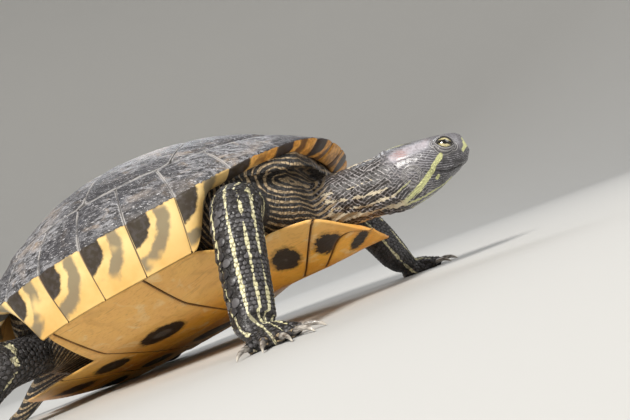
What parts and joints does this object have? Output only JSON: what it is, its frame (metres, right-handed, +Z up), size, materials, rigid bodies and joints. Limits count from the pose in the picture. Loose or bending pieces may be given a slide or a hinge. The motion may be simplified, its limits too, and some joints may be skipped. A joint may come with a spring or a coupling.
{
  "type": "red-eared slider turtle",
  "caption": "Life-size freshwater slider turtle at rest: domed dark carapace, blotched yellow plastron, neck stretched up, front raised on its forelegs.",
  "frame": {"origin": "on the floor, under the middle of the whole animal's box", "axes": "+X towards the head, +Y to the animal's left, +Z up from the floor it rests on"},
  "size_m": [0.339, 0.243, 0.1177],
  "materials": {
    "carapace_horn": "dry dark horn with a faint sheen",
    "rim_horn": "dark horn above, yellow with dark blotches below",
    "plastron_horn": "smooth yellow horn with dark blotches",
    "skin": "dark scaly skin with pale yellow stripes",
    "head_skin": "smooth glossy dark skin with pale stripes",
    "claw_horn": "grey-brown horn",
    "eye": "wet"
  },
  "bodies": {
    "root": {"vertebral_1": "carapace_horn", "vertebral_2": "carapace_horn", "vertebral_3": "carapace_horn", "vertebral_4": "carapace_horn", "vertebral_5": "carapace_horn", "costal_left_1": "carapace_horn", "costal_left_2": "carapace_horn", "costal_left_3": "carapace_horn", "costal_left_4": "carapace_horn", "costal_right_1": "carapace_horn", "costal_right_2": "carapace_horn", "costal_right_3": "carapace_horn", "costal_right_4": "carapace_horn", "nuchal": "carapace_horn", "marginals_left": "rim_horn", "marginals_right": "rim_horn", "gular": "plastron_horn", "humeral_left": "plastron_horn", "humeral_right": "plastron_horn", "pectoral_left": "plastron_horn", "pectoral_right": "plastron_horn", "abdominal_left": "plastron_horn", "abdominal_right": "plastron_horn", "femoral_left": "plastron_horn", "femoral_right": "plastron_horn", "anal_left": "plastron_horn", "anal_right": "plastron_horn", "trunk": "skin", "neck": "skin", "head": "head_skin", "lower_jaw": "head_skin", "eye_left": "eye", "eye_right": "eye", "foreleg_left": "skin", "foreleg_right": "skin", "hindleg_left": "skin", "hindleg_right": "skin", "forefoot_left": "skin", "forefoot_left_claw_1": "claw_horn", "forefoot_left_claw_2": "claw_horn", "forefoot_left_claw_3": "claw_horn", "forefoot_left_claw_4": "claw_horn", "forefoot_left_claw_5": "claw_horn", "forefoot_right": "skin", "forefoot_right_claw_1": "claw_horn", "forefoot_right_claw_2": "claw_horn", "forefoot_right_claw_3": "claw_horn", "forefoot_right_claw_4": "claw_horn", "forefoot_right_claw_5": "claw_horn", "hindfoot_left": "skin", "hindfoot_left_claw_1": "claw_horn", "hindfoot_left_claw_2": "claw_horn", "hindfoot_left_claw_3": "claw_horn", "hindfoot_left_claw_4": "claw_horn", "hindfoot_right": "skin", "hindfoot_right_claw_1": "claw_horn", "hindfoot_right_claw_2": "claw_horn", "hindfoot_right_claw_3": "claw_horn", "hindfoot_right_claw_4": "claw_horn", "tail": "skin"}
  },
  "joints": []
}
